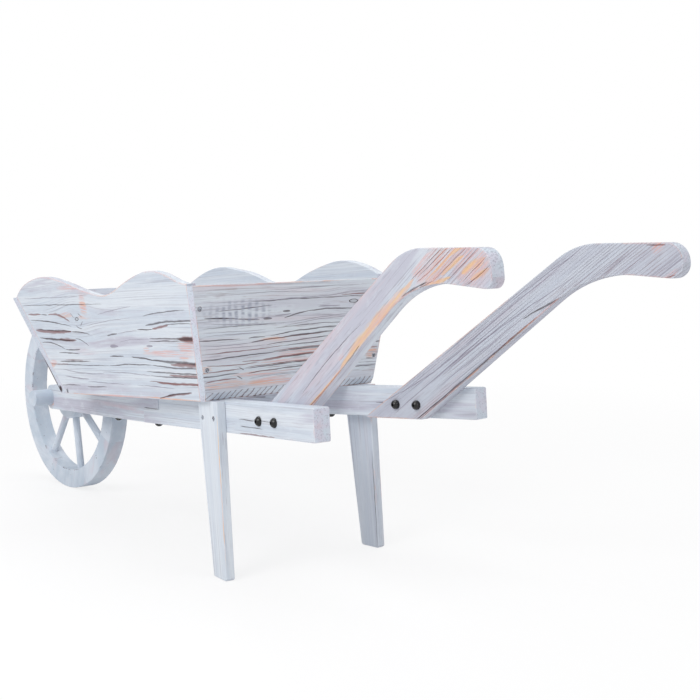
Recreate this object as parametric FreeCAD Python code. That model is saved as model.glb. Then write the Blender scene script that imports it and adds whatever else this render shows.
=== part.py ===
"""A decorative wooden wheelbarrow: scalloped planter box on two converging rails, legs, handles, one wheel.

Millimetres. The pieces are drawn level, in the barrow's own frame: x 0 is a point between the rails, +x
runs back to the handles, z 0 is the middle of the rails. place_on_ground then tips the whole barrow on to
its wheel and feet, which puts the origin at the bottom centre of its bounding box, +X to the handles and
+Z up. Left is the side at -Y, on the left hand of a person who stands between the handles.
"""
import FreeCAD
import Part

import math
import os

from FreeCAD import Vector

# Shared finish and cutting values
cut_overrun = 6.0
board_edge_radius = 1.4
far_reach = 900.0
wood_fit = 0.1

# Stance
rail_slope_deg = 4.5

# Rails: two joined timbers on each side, closer together at the wheel
rail_height = 45.0
rail_thickness = 25.0
rail_outer_half_width = 105.0
rail_toe_in_deg = 5.6
rail_rear_end = 535.0
rail_end_radius = 2.5
# Length past which an edge of a rail is softened, as a share of the rail's height
rail_arris_share = 1.2
lap_front_end = 34.0
lap_rear_end = 90.0
lap_skew_room = 3.0

# Wheel
wheel_radius = 175.0
rim_depth = 34.0
rim_width = 32.0
felloe_count = 4
felloe_joint_turn_deg = 28.0
spoke_count = 8
spoke_turn_deg = 6.0
spoke_diameter = 13.0
spoke_rim_socket = 14.0
spoke_hub_socket = 16.0
socket_bottom_gap = 1.0
hub_diameter = 88.0
hub_width = 31.0
hub_boss_diameter = 44.0
hub_boss_length = 34.4
hub_boss_gap = 2.0
hub_edge_radius = 3.0

# Axle, which turns with the wheel in the rails
axle_x = -406.0
axle_diameter = 30.0
axle_turning_clearance = 0.08
axle_outer_length = 37.8
axle_end_radius = 2.0

# Legs, screwed to the outside of the rails
leg_thickness = 14.0
leg_top_front = 248.0
leg_top_rear = 305.0
leg_foot_front = 270.5
leg_foot_rear = 307.0
leg_corner_radius = 4.0
leg_cut_share = 1.2

# Handles, bolted to the inside of the rails
handle_thickness = 19.0
handle_foot_front = 313.5
handle_foot_rear = 428.0
handle_elbow_top = (708.0, 214.5)
handle_elbow_under = (727.5, 177.0)
handle_tip_top = (861.0, 206.5)
handle_tip_under = (863.5, 160.5)
handle_elbow_top_radius = 113.0
handle_elbow_under_radius = 175.0
handle_tip_top_radius = 24.0
left_handle_tip_under_radius = 12.0
right_handle_tip_under_radius = 18.0
right_handle_setback = 20.0
handle_foot_radius = 1.5

# Planter box
box_board = 15.0
box_height = 164.5
# How far the box stands out past the rails, at the height of their tops
box_side_overhang = 46.0
box_side_taper_deg = 0.9
box_side_splay_deg = 9.9
box_rear_x = 286.5
box_rear_rake_deg = 8.5
box_front_x = -163.5
box_front_rake_deg = 33.8
front_board_crown = 11.0
rear_bevel_height = 10.0
rear_bevel_depth = 3.5
# Top edge of each hand-sawn side board: share of its length from the front, share of the box height
left_scallop_shares = (
    (0.0, 1.02),
    (0.06, 1.122),
    (0.13, 1.177),
    (0.21, 1.193),
    (0.29, 1.153),
    (0.363, 1.095),
    (0.44, 1.028),
    (0.5, 0.987),
    (0.555, 0.969),
    (0.61, 0.997),
    (0.67, 1.06),
    (0.74, 1.12),
    (0.82, 1.157),
    (0.88, 1.135),
    (0.94, 1.064),
    (1.0, 1.02),
)
right_scallop_shares = (
    (0.0, 1.02),
    (0.06, 1.105),
    (0.115, 1.178),
    (0.165, 1.219),
    (0.22, 1.234),
    (0.28, 1.208),
    (0.361, 1.16),
    (0.43, 1.095),
    (0.5, 1.02),
    (0.555, 0.995),
    (0.61, 1.015),
    (0.67, 1.088),
    (0.74, 1.156),
    (0.82, 1.198),
    (0.88, 1.178),
    (0.94, 1.122),
    (1.0, 1.04),
)

# Floor
plank_thickness = 12.0
plank_count = 5
plank_gap = 4.0

# Black bolts with round heads
bolt_shank = 6.0
bolt_head = 13.6
bolt_head_height = 6.2
bolt_head_side_share = 0.22
bolt_socket = 4.0
bolt_socket_depth = 2.2
cap_nut_barrel = 8.0
cap_nut_length = 16.0
cap_nut_head_height = 8.6
washer_diameter = 14.0
washer_height = 1.4
nut_across_flats = 10.0
nut_height = 5.0
handle_bolt_places = (397.0, 437.5)
handle_bolt_drop = 1.5
right_handle_bolt_setback = 3.0
rail_bolt_places = (-103.5, 62.3, 230.0)

# Countersunk screws
screw_head = 7.5
screw_head_height = 2.6
screw_shank = 4.0
screw_recess = 1.2
screw_recess_arm = 4.6
leg_screw_inset = 12.0
leg_screw_drop = 2.0
leg_screw_length = 38.0
board_screw_length = 40.0
floor_screw_length = 32.0
# Place of a floor screw on its plank, as a share of the plank's width from the front
floor_screw_share = 0.25
board_screw_height_shares = (0.27, 0.8)
side_screw_length = 26.0
side_screw_inset = 9.0
# Height of a side board's screw, as a share of the floor's thickness
side_screw_height_share = 0.4

# Sizes that follow from the ones above
rail_half = rail_height / 2
box_side_half_width = rail_outer_half_width + box_side_overhang
bolt_bore = bolt_shank / 2 + wood_fit
rail_pitch = math.radians(rail_slope_deg)
toe_in = math.radians(rail_toe_in_deg)
lap_middle = (lap_front_end + lap_rear_end) / 2
lap_middle_x = lap_middle * math.cos(toe_in) + rail_thickness / 2 * math.sin(toe_in)
lap_middle_half_width = rail_outer_half_width + lap_middle * math.sin(toe_in) - rail_thickness / 2 * math.cos(toe_in)

# The front timbers turn further inward, about the middle of the lap, until they nearly meet the hub
hub_reach = lap_middle_x - (axle_x - hub_boss_diameter / 2)
hub_offset = lap_middle_half_width - (hub_boss_length / 2 + hub_boss_gap)
front_toe_in = math.acos(rail_thickness / 2 / math.hypot(hub_reach, hub_offset)) - math.atan2(hub_reach, hub_offset)
side_taper = math.tan(math.radians(box_side_taper_deg))
side_splay = math.tan(math.radians(box_side_splay_deg))
rear_rake = math.tan(math.radians(box_rear_rake_deg))
front_rake = math.tan(math.radians(box_front_rake_deg))
across_side_board = math.sqrt(1 + side_taper ** 2 + side_splay ** 2)
rail_mid_height = wheel_radius - axle_x * math.sin(rail_pitch)
# Y is the axis of the wheel and of everything extruded across the barrow
ACROSS = Vector(0, 1, 0)
UP = Vector(0, 0, 1)
ORIGIN = Vector(0, 0, 0)


def front_rail_half_width(x, inward=0.0):
    """Distance from the middle of the barrow to a front rail timber's outer face, or to a plane inside it."""
    middle = lap_middle_half_width + (x - lap_middle_x) * math.tan(front_toe_in)
    return middle + (rail_thickness / 2 - inward) / math.cos(front_toe_in)


def box_half_width(x, z, inset=0.0):
    """Half the width of the box at a point of its side, measured to a plane set in from the outer face."""
    return box_side_half_width + side_taper * x + side_splay * (z - rail_half) - inset * across_side_board


def front_plane(z, inset=0.0):
    """x of the front board's outer face, or of a plane set in behind it."""
    return box_front_x - front_rake * (z - rail_half) + inset * math.sqrt(1 + front_rake ** 2)


def rear_plane(z, inset=0.0):
    """x of the rear board's outer face, or of a plane set in before it."""
    return box_rear_x + rear_rake * (z - rail_half) - inset * math.sqrt(1 + rear_rake ** 2)


def corner_arc(before, corner, after, radius):
    """Start, middle and end of the arc that rounds one corner of an outline."""
    back = (before - corner).normalize()
    ahead = (after - corner).normalize()
    half = back.getAngle(ahead) / 2
    reach = radius / math.tan(half)
    centre = corner + (back + ahead).normalize() * (radius / math.sin(half))
    middle = centre + (corner - centre).normalize() * radius
    return corner + back * reach, middle, corner + ahead * reach


def rounded_wire(points):
    """Closed outline in the XZ plane from (x, z, radius) corners; radius 0 keeps a corner sharp."""
    corners = [Vector(x, 0, z) for x, z, radius in points]
    radii = [radius for x, z, radius in points]
    runs = []
    edges = []
    for i, corner in enumerate(corners):
        if radii[i] > 0:
            after = corners[(i + 1) % len(corners)]
            start, middle, end = corner_arc(corners[i - 1], corner, after, radii[i])
            edges.append(Part.Arc(start, middle, end).toShape())
            runs.append((start, end))
        else:
            runs.append((corner, corner))
    for i, run in enumerate(runs):
        edges.append(Part.LineSegment(run[1], runs[(i + 1) % len(runs)][0]).toShape())
    return Part.Wire(Part.__sortEdges__(edges))


def board(points, y_low, y_high):
    """Outline extruded across the barrow from y_low to y_high."""
    face = Part.Face(rounded_wire(points))
    face.translate(Vector(0, y_low, 0))
    return face.extrude(Vector(0, y_high - y_low, 0))


def soften(shape, radius, chosen):
    """Rounds the edges that the test picks by their middle point and length."""
    return shape.makeFillet(radius, [edge for edge in shape.Edges if chosen(edge.CenterOfMass, edge)])


def cylinder(radius, length, start, axis):
    return Part.makeCylinder(radius, length, start, axis)


def polyhedron(corners):
    """Solid with flat sides from eight corners, low then high, each four in a ring."""
    low = corners[:4]
    high = corners[4:]
    rings = [low, high]
    for i in range(4):
        rings.append([low[i], low[(i + 1) % 4], high[(i + 1) % 4], high[i]])
    faces = [Part.Face(Part.makePolygon(ring + [ring[0]])) for ring in rings]
    return Part.makeSolid(Part.makeShell(faces))


def splayed_slab(y_low, y_high):
    """Space between two flat splayed surfaces; y_low and y_high give y for a place (x, z)."""
    x_low, x_high = -far_reach, far_reach
    z_low, z_high = -rail_height, far_reach / 2
    corners = []
    for z in (z_low, z_high):
        corners.append(Vector(x_low, y_low(x_low, z), z))
        corners.append(Vector(x_high, y_low(x_high, z), z))
        corners.append(Vector(x_high, y_high(x_high, z), z))
        corners.append(Vector(x_low, y_high(x_low, z), z))
    return polyhedron(corners)


def box_space(inset):
    """Space between the two side boards, or between planes set in from their outer faces."""
    return splayed_slab(lambda x, z: -box_half_width(x, z, inset), lambda x, z: box_half_width(x, z, inset))


def on_left_rail(shape):
    """Moves a piece drawn along x, with y 0 on the rail's outer face and +y inward, to the left rail."""
    placed = shape.copy()
    placed.rotate(ORIGIN, UP, -rail_toe_in_deg)
    placed.translate(Vector(0, -rail_outer_half_width, 0))
    return placed


def on_front_rail(shape):
    """Moves a piece drawn like a rail timber to the line of the left front timber."""
    placed = shape.copy()
    pivot = Vector(lap_middle, rail_thickness / 2, 0)
    placed.rotate(pivot, UP, math.degrees(toe_in - front_toe_in))
    return on_left_rail(placed)


def to_right(shape):
    """The same piece on the other side of the barrow."""
    return shape.mirror(ORIGIN, ACROSS)


def solid_of(shape):
    """The single solid that a boolean operation left."""
    solids = shape.Solids
    if len(solids) != 1:
        raise ValueError("expected one solid, found %d" % len(solids))
    return solids[0]


# Fasteners, drawn with the underside of the head at z 0 and the shank down
def dome(width, height):
    """Round head that rises from z 0, with a short upright side."""
    radius = width / 2
    side = height * bolt_head_side_share
    crown = height - side
    ball = (radius ** 2 + crown ** 2) / (2 * crown)
    low = Vector(radius, 0, 0)
    shoulder = Vector(radius, 0, side)
    top = Vector(0, 0, height)
    angle = math.asin(radius / ball) / 2
    middle = Vector(ball * math.sin(angle), 0, height - ball * (1 - math.cos(angle)))
    edges = [
        Part.LineSegment(ORIGIN, low).toShape(),
        Part.LineSegment(low, shoulder).toShape(),
        Part.Arc(shoulder, middle, top).toShape(),
        Part.LineSegment(top, ORIGIN).toShape(),
    ]
    return solid_of(Part.Face(Part.Wire(edges)).revolve(ORIGIN, UP, 360))


def hexagon(across_flats, height, z):
    """Upright hexagonal prism on the z axis."""
    sides = 6
    radius = across_flats / math.sqrt(3)
    points = []
    for i in range(sides + 1):
        angle = 2 * math.pi * i / sides
        points.append(Vector(radius * math.cos(angle), radius * math.sin(angle), z))
    return Part.Face(Part.makePolygon(points)).extrude(Vector(0, 0, height))


def socket_head(height):
    """Round head with a hexagonal socket in its top."""
    socket = hexagon(bolt_socket, bolt_socket_depth + cut_overrun, height - bolt_socket_depth)
    return dome(bolt_head, height).cut(socket)


def bolt(length):
    """Round-headed bolt with a hexagonal socket."""
    shank = cylinder(bolt_shank / 2, length, Vector(0, 0, -length), UP)
    return solid_of(socket_head(bolt_head_height).fuse(shank))


def cap_nut():
    """Round head on a short barrel that the bolt's end screws into."""
    barrel = cylinder(cap_nut_barrel / 2, cap_nut_length, Vector(0, 0, -cap_nut_length), UP)
    start = Vector(0, 0, -cap_nut_length - cut_overrun)
    bore = cylinder(bolt_bore, cut_overrun + cap_nut_length - bolt_socket_depth, start, UP)
    return solid_of(socket_head(cap_nut_head_height).fuse(barrel).cut(bore))


def washer():
    ring = cylinder(washer_diameter / 2, washer_height, ORIGIN, UP)
    return ring.cut(cylinder(bolt_bore, washer_height, ORIGIN, UP))


def nut():
    return hexagon(nut_across_flats, nut_height, 0).cut(cylinder(bolt_bore, nut_height, ORIGIN, UP))


def screw_body(length, growth):
    """Countersunk screw with its flat top at z 0, enlarged all round by growth."""
    head_radius = screw_head / 2 + growth
    shank_radius = screw_shank / 2 + growth
    head = Part.makeCone(shank_radius, head_radius, screw_head_height, Vector(0, 0, -screw_head_height), UP)
    shank = cylinder(shank_radius, length - screw_head_height + growth, Vector(0, 0, -length - growth), UP)
    return head.fuse(shank)


def screw(length):
    body = screw_body(length, 0)
    arm = Part.makeBox(screw_recess_arm, screw_recess, screw_recess)
    arm.translate(Vector(-screw_recess_arm / 2, -screw_recess / 2, -screw_recess))
    crossed = arm.copy()
    crossed.rotate(ORIGIN, UP, 90)
    return solid_of(body.cut(arm).cut(crossed))


def screw_hole(length):
    """Hole for a screw, open at the top."""
    mouth = cylinder(screw_head / 2 + wood_fit, cut_overrun, ORIGIN, UP)
    return screw_body(length, wood_fit).fuse(mouth)


def aimed(shape, place, outward):
    """Turns a fastener so that its head faces outward, and moves it to its place."""
    turned = shape.copy()
    turned.Placement = FreeCAD.Placement(place, FreeCAD.Rotation(UP, outward)).multiply(turned.Placement)
    return turned


# Places of the fasteners: (point, outward direction) pairs for the left side
def along_left_rail(along, inward, z):
    """Point of the barrow frame for a place on the left rail."""
    x = along * math.cos(toe_in) + inward * math.sin(toe_in)
    y = -rail_outer_half_width - along * math.sin(toe_in) + inward * math.cos(toe_in)
    return Vector(x, y, z)


def mirrored_place(place):
    point, outward = place
    return Vector(point.x, -point.y, point.z), Vector(outward.x, -outward.y, outward.z)


def both_sides(places):
    return list(places) + [mirrored_place(place) for place in places]


def with_right_setback(spots):
    """Places on the left, and on the right those that stand further back."""
    return spots(0) + [mirrored_place(place) for place in spots(right_handle_bolt_setback)]


left_outward = Vector(-math.sin(toe_in), -math.cos(toe_in), 0)


def handle_bolt_spots(setback):
    return [(along_left_rail(s + setback, 0, -handle_bolt_drop), left_outward) for s in handle_bolt_places]


def cap_nut_spots(setback):
    depth = rail_thickness + handle_thickness
    outward = left_outward * -1
    return [(along_left_rail(s + setback, depth, -handle_bolt_drop), outward) for s in handle_bolt_places]


def rail_centre(x, z):
    """Point over the middle of a left rail timber, the front one before the middle of the lap."""
    if x < lap_middle_x:
        return Vector(x, -front_rail_half_width(x, rail_thickness / 2), z)
    along = (x - rail_thickness / 2 * math.sin(toe_in)) / math.cos(toe_in)
    return along_left_rail(along, rail_thickness / 2, z)


def rail_bolt_spots():
    return [(rail_centre(x, -rail_half), UP * -1) for x in rail_bolt_places]


def floor_spots():
    """Where the bolts come out of the floor."""
    top = rail_half + plank_thickness
    return [(rail_centre(x, top), UP) for x in rail_bolt_places]


def leg_screw_spots():
    places = (leg_top_front + leg_screw_inset, leg_top_rear - leg_screw_inset)
    return [(along_left_rail(s, -leg_thickness, -leg_screw_drop), left_outward) for s in places]


def floor_screw_spots():
    """One screw through each plank into the rail below it."""
    spots = []
    for front, rear in plank_edges():
        x = front + (rear - front) * floor_screw_share
        spots.append((rail_centre(x, rail_half + plank_thickness), UP))
    return spots


def end_board_screw_spots(plane, outward):
    """Screws through an end board into the end grain of a side board."""
    spots = []
    for share in board_screw_height_shares:
        z = rail_half + box_height * share
        x = plane(z)
        spots.append((Vector(x, -box_half_width(x, z, box_board / 2), z), outward))
    return spots


def rear_screw_spots():
    return end_board_screw_spots(rear_plane, Vector(1, 0, -rear_rake).normalize())


def front_screw_spots():
    return end_board_screw_spots(front_plane, Vector(-1, 0, -front_rake).normalize())


def side_screw_spots():
    """One screw low in the front corner of each side board, into the end of the first plank."""
    z = rail_half + plank_thickness * side_screw_height_share
    x = front_plane(z, box_board) + side_screw_inset
    outward = Vector(-side_taper, -1, -side_splay).normalize()
    return [(Vector(x, -box_half_width(x, z), z), outward)]


def drilled(shape, hole, places):
    """Cuts a hole at every place from a piece."""
    for point, outward in places:
        shape = shape.cut(aimed(hole, point, outward))
    return solid_of(shape)


def drilled_where_met(shape, hole, places):
    """Drills only the holes that reach into the piece."""
    for point, outward in places:
        tool = aimed(hole, point, outward)
        if shape.distToShape(tool)[0] < wood_fit / 2:
            shape = shape.cut(tool)
    return solid_of(shape)


def group(shape, places):
    return Part.makeCompound([aimed(shape, point, outward) for point, outward in places])


def plain_hole(radius, depth):
    """Straight hole from outside the surface to a depth, along the fastener's axis."""
    return cylinder(radius, depth + cut_overrun, Vector(0, 0, -depth), UP)


# Wooden pieces, left side first
def is_rail_arris(middle, edge):
    """True for the long edges of a rail timber and those round its nose, but not for those of its lap."""
    in_lap = middle.x > lap_front_end and abs(middle.z) < rail_half / 2
    return edge.Length > rail_height * rail_arris_share and not in_lap


def rail_rear():
    """Rear timber of a rail, with the lower tongue of the half lap at its front end."""
    half = rail_half
    outline = [
        (lap_front_end, -half, 0),
        (rail_rear_end, -half, rail_end_radius),
        (rail_rear_end, half, rail_end_radius),
        (lap_rear_end, half, 0),
        (lap_rear_end, 0, 0),
        (lap_front_end, 0, 0),
    ]
    return on_left_rail(soften(board(outline, 0, rail_thickness), board_edge_radius, is_rail_arris))


def rail_front():
    """Front timber of a rail: round at the axle end, with the upper tongue of the half lap at the other."""
    half = rail_half
    axle_along = lap_middle + (axle_x - lap_middle_x) / math.cos(front_toe_in)
    outline = [
        (axle_along, -half, 0),
        (lap_front_end + lap_skew_room, -half, 0),
        (lap_front_end + lap_skew_room, 0, 0),
        (lap_rear_end + lap_skew_room, 0, 0),
        (lap_rear_end + lap_skew_room, half, 0),
        (axle_along, half, 0),
    ]
    nose = cylinder(half, rail_thickness, Vector(axle_along, 0, 0), ACROSS)
    timber = solid_of(board(outline, 0, rail_thickness).fuse(nose).removeSplitter())
    timber = soften(timber, board_edge_radius, is_rail_arris)
    bore_radius = axle_diameter / 2 + axle_turning_clearance
    bore = cylinder(bore_radius, 2 * rail_outer_half_width, axle_point(-rail_outer_half_width), ACROSS)
    return solid_of(on_front_rail(timber).cut(rear_timber_room()).cut(bore))


def rear_timber_room():
    """Space behind the end planes of the rear timber's lap, wider than the rail."""
    outline = [
        (lap_front_end, -rail_height, 0),
        (rail_rear_end, -rail_height, 0),
        (rail_rear_end, rail_height, 0),
        (lap_rear_end, rail_height, 0),
        (lap_rear_end, 0, 0),
        (lap_front_end, 0, 0),
    ]
    return on_left_rail(board(outline, -rail_thickness, 2 * rail_thickness))


def drilled_rail(rail, bolt_setback):
    """Bolt and screw holes that a left rail timber carries."""
    rail = drilled_where_met(rail, plain_hole(bolt_bore, rail_thickness), handle_bolt_spots(bolt_setback))
    rail = drilled_where_met(rail, plain_hole(bolt_bore, rail_height), rail_bolt_spots())
    rail = drilled_where_met(rail, screw_hole(leg_screw_length), leg_screw_spots())
    return drilled_where_met(rail, screw_hole(floor_screw_length), floor_screw_spots())


def leg():
    """Tapered leg on the outside of a rail, cut off level where it meets the ground."""
    front_reach = (leg_foot_front - leg_top_front) * leg_cut_share
    rear_reach = (leg_foot_rear - leg_top_rear) * leg_cut_share
    foot = rail_half - (rail_half - ground_height(leg_foot_rear)) * leg_cut_share
    outline = [
        (leg_top_front, rail_half, 0),
        (leg_top_front + front_reach, foot, 0),
        (leg_top_rear + rear_reach, foot, 0),
        (leg_top_rear, rail_half, 0),
    ]
    plank = on_left_rail(board(outline, -leg_thickness, 0)).cut(ground_block())
    plank = soften(plank, leg_corner_radius, is_foot_edge)
    plank = soften(plank, board_edge_radius, lambda middle, edge: edge.Length > rail_mid_height / 2)
    return drilled(solid_of(plank), screw_hole(leg_screw_length), leg_screw_spots())


def ground_height(x):
    """Height of the ground in the barrow's level frame."""
    return -(rail_mid_height + x * math.sin(rail_pitch)) / math.cos(rail_pitch)


def direction_of(edge):
    return edge.tangentAt(edge.FirstParameter)


def is_foot_edge(middle, edge):
    """True for the two edges across the sole of a leg."""
    on_ground = abs(middle.z - ground_height(middle.x)) < leg_corner_radius / 4
    return on_ground and abs(direction_of(edge).y) > abs(direction_of(edge).x)


def ground_block():
    """Everything below the ground, in the barrow's level frame."""
    block = Part.makeBox(2 * far_reach, 2 * far_reach, far_reach)
    block.translate(Vector(-far_reach, -far_reach, -far_reach - rail_mid_height))
    block.rotate(ORIGIN, ACROSS, rail_slope_deg)
    return block


def handle(setback, bolt_setback, tip_under_radius):
    """Curved board on the inside of the left rail, from the rail's lower edge up and back to the grip."""
    outline = [
        (handle_foot_front, -rail_half, handle_foot_radius),
        (handle_foot_rear, -rail_half, handle_foot_radius),
        (handle_elbow_under[0], handle_elbow_under[1], handle_elbow_under_radius),
        (handle_tip_under[0], handle_tip_under[1], tip_under_radius),
        (handle_tip_top[0], handle_tip_top[1], handle_tip_top_radius),
        (handle_elbow_top[0], handle_elbow_top[1], handle_elbow_top_radius),
    ]
    plank = board(outline, rail_thickness, rail_thickness + handle_thickness)
    plank.translate(Vector(setback, 0, 0))
    on_faces = (rail_thickness, rail_thickness + handle_thickness)
    plank = soften(plank, board_edge_radius, lambda middle, edge: near_any(middle.y, on_faces))
    plank = on_left_rail(plank)
    barrel_hole = plain_hole(cap_nut_barrel / 2 + wood_fit, handle_thickness)
    return drilled(plank, barrel_hole, cap_nut_spots(bolt_setback))


def near_any(value, places):
    return any(abs(value - place) < wood_fit for place in places)


def scalloped_top(scallop_shares, front, rear):
    """Top edge of a side board, a smooth curve through its humps and dip."""
    points = []
    for along_share, height_share in scallop_shares:
        x = front + (rear - front) * along_share
        points.append(Vector(x, -far_reach / 2, rail_half + box_height * height_share))
    curve = Part.BSplineCurve()
    curve.interpolate(points)
    return points, curve.toShape()


def side_board(scallop_shares):
    """Side board, drawn on the left: splayed, scalloped along the top, its ends behind the end boards."""
    first_share = scallop_shares[0][1]
    last_share = scallop_shares[-1][1]
    front_top = front_plane(rail_half + box_height * first_share, box_board)
    rear_top = rear_plane(rail_half + box_height * last_share, box_board)
    points, top = scalloped_top(scallop_shares, front_top, rear_top)
    low_front = Vector(front_plane(rail_half, box_board), points[0].y, rail_half)
    low_rear = Vector(rear_plane(rail_half, box_board), points[0].y, rail_half)
    edges = [
        top,
        Part.LineSegment(points[-1], low_rear).toShape(),
        Part.LineSegment(low_rear, low_front).toShape(),
        Part.LineSegment(low_front, points[0]).toShape(),
    ]
    silhouette = Part.Face(Part.Wire(Part.__sortEdges__(edges))).extrude(Vector(0, far_reach / 2, 0))
    slab = splayed_slab(lambda x, z: -box_half_width(x, z), lambda x, z: -box_half_width(x, z, box_board))
    plank = solid_of(silhouette.common(slab))
    plank = soften(plank, board_edge_radius, is_top_edge)
    plank = drilled(plank, screw_hole(side_screw_length), side_screw_spots())
    plank = drilled(plank, screw_hole(board_screw_length), rear_screw_spots())
    return drilled(plank, screw_hole(board_screw_length), front_screw_spots())


def is_top_edge(middle, edge):
    """True for the two scalloped edges of a side board."""
    return middle.z > rail_half + box_height / 2 and edge.Length > box_height * 2


def is_cross_edge(middle, edge):
    """True for the long edges that run across the barrow."""
    return edge.Length > box_side_half_width and abs(direction_of(edge).y) > abs(direction_of(edge).z)


def crown_space():
    """Space under the arched top edge of the front board, as it shows in a view along the barrow."""
    high = rail_half + box_height
    half = box_half_width(front_plane(high), high) + cut_overrun
    left = Vector(-far_reach, -half, high)
    right = Vector(-far_reach, half, high)
    crown = Vector(-far_reach, 0, high + front_board_crown)
    low_right = Vector(-far_reach, half, -rail_height)
    low_left = Vector(-far_reach, -half, -rail_height)
    edges = [
        Part.Arc(left, crown, right).toShape(),
        Part.LineSegment(right, low_right).toShape(),
        Part.LineSegment(low_right, low_left).toShape(),
        Part.LineSegment(low_left, left).toShape(),
    ]
    return Part.Face(Part.Wire(edges)).extrude(Vector(2 * far_reach, 0, 0))


def front_board():
    """Front board, leaning out over the wheel, with a low arch along its top."""
    low = rail_half
    high = rail_half + box_height + front_board_crown + cut_overrun
    outline = [
        (front_plane(low), low, 0),
        (front_plane(low, box_board), low, 0),
        (front_plane(high, box_board), high, 0),
        (front_plane(high), high, 0),
    ]
    plank = board(outline, -far_reach / 2, far_reach / 2).common(box_space(0)).common(crown_space())
    plank = soften(solid_of(plank), board_edge_radius, is_cross_edge)
    return drilled(plank, screw_hole(board_screw_length), both_sides(front_screw_spots()))


def rear_board():
    """Rear board, with its lower outer edge planed off upright."""
    low = rail_half
    bevel = rail_half + rear_bevel_height
    high = rail_half + box_height
    outline = [
        (rear_plane(low) - rear_bevel_depth, low, 0),
        (rear_plane(bevel), bevel, 0),
        (rear_plane(high), high, 0),
        (rear_plane(high, box_board), high, 0),
        (rear_plane(low, box_board), low, 0),
    ]
    plank = board(outline, -far_reach / 2, far_reach / 2).common(box_space(0))
    plank = soften(solid_of(plank), board_edge_radius, is_cross_edge)
    return drilled(plank, screw_hole(board_screw_length), both_sides(rear_screw_spots()))


def plank_edges():
    """Front and rear x of each floor plank at the level of the rails."""
    start = front_plane(rail_half, box_board)
    step = (rear_plane(rail_half, box_board) + plank_gap - start) / plank_count
    return [(start + step * i, start + step * (i + 1) - plank_gap) for i in range(plank_count)]


def floor_plank(index):
    """Plank across the rails, between the side boards; the outer two follow the rake of the end boards."""
    front, rear = plank_edges()[index]
    low = rail_half
    high = rail_half + plank_thickness
    front_high = front_plane(high, box_board) if index == 0 else front
    rear_high = rear_plane(high, box_board) if index == plank_count - 1 else rear
    outline = [(front, low, 0), (rear, low, 0), (rear_high, high, 0), (front_high, high, 0)]
    plank = board(outline, -far_reach / 2, far_reach / 2).common(box_space(box_board))
    plank = drilled_where_met(plank, plain_hole(bolt_bore, plank_thickness), both_sides(floor_spots()))
    plank = drilled_where_met(plank, screw_hole(floor_screw_length), both_sides(floor_screw_spots()))
    return drilled_where_met(plank, screw_hole(side_screw_length), both_sides(side_screw_spots()))


# Wheel
def spoke_angle(index):
    return spoke_turn_deg + 360.0 * index / spoke_count


def spoke_axis(index):
    angle = math.radians(spoke_angle(index))
    return Vector(math.cos(angle), 0, math.sin(angle))


def axle_point(y):
    return Vector(axle_x, y, 0)


def spoke_blank(growth, hub_reach, rim_reach):
    """Round bar along x from inside the hub to inside the rim."""
    start = hub_diameter / 2 - hub_reach
    end = wheel_radius - rim_depth + rim_reach
    return cylinder(spoke_diameter / 2 + growth, end - start, Vector(start, 0, 0), Vector(1, 0, 0))


def turned_to_spoke(shape, index):
    placed = shape.copy()
    placed.rotate(ORIGIN, ACROSS, -spoke_angle(index))
    placed.translate(axle_point(0))
    return placed


def spoke(index):
    return turned_to_spoke(spoke_blank(0, spoke_hub_socket, spoke_rim_socket), index)


def with_spoke_holes(shape):
    hole = spoke_blank(wood_fit, spoke_hub_socket + socket_bottom_gap, spoke_rim_socket + socket_bottom_gap)
    for i in range(spoke_count):
        shape = shape.cut(turned_to_spoke(hole, i))
    return shape


def rim():
    """Whole rim with softened edges."""
    outer = cylinder(wheel_radius, rim_width, axle_point(-rim_width / 2), ACROSS)
    inner = cylinder(wheel_radius - rim_depth, rim_width, axle_point(-rim_width / 2), ACROSS)
    ring = solid_of(outer.cut(inner))
    return soften(ring, board_edge_radius, lambda middle, edge: edge.Length > wheel_radius)


def felloe(index):
    """One curved block of the rim, between two of its joints."""
    share = 360.0 / felloe_count
    wedge = Part.makeCylinder(wheel_radius * 2, rim_width * 2, ORIGIN, UP, share)
    wedge.translate(Vector(0, 0, -rim_width))
    wedge.rotate(ORIGIN, Vector(1, 0, 0), 90)
    wedge.rotate(ORIGIN, ACROSS, felloe_joint_turn_deg - share * index)
    wedge.translate(axle_point(0))
    return solid_of(with_spoke_holes(rim().common(wedge)))


def hub():
    """Turned block with a boss on each side that keeps it between the rails."""
    boss_end = hub_boss_length / 2
    drum = cylinder(hub_diameter / 2, hub_width, axle_point(-hub_width / 2), ACROSS)
    drum = soften(drum, hub_edge_radius, lambda middle, edge: edge.Length > hub_diameter)
    boss = cylinder(hub_boss_diameter / 2, 2 * boss_end, axle_point(-boss_end), ACROSS)
    bore_end = boss_end + cut_overrun
    bore = cylinder(axle_diameter / 2 + wood_fit, 2 * bore_end, axle_point(-bore_end), ACROSS)
    return solid_of(with_spoke_holes(drum.fuse(boss)).cut(bore))


def axle():
    """Round wooden bar through both rails, standing out on each side."""
    half = front_rail_half_width(axle_x) + axle_outer_length
    bar = cylinder(axle_diameter / 2, 2 * half, axle_point(-half), ACROSS)
    return soften(bar, axle_end_radius, lambda middle, edge: edge.Closed)


# Assembly
def pair(name, left):
    return {name + "_left": left, name + "_right": to_right(left)}


def frame_nodes():
    nodes = {}
    nodes["rail_rear_left"] = drilled_rail(rail_rear(), 0)
    nodes["rail_rear_right"] = to_right(drilled_rail(rail_rear(), right_handle_bolt_setback))
    nodes.update(pair("rail_front", drilled_rail(rail_front(), 0)))
    nodes.update(pair("leg", leg()))
    nodes["handle_left"] = handle(0, 0, left_handle_tip_under_radius)
    right = handle(right_handle_setback, right_handle_bolt_setback, right_handle_tip_under_radius)
    nodes["handle_right"] = to_right(right)
    return nodes


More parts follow.
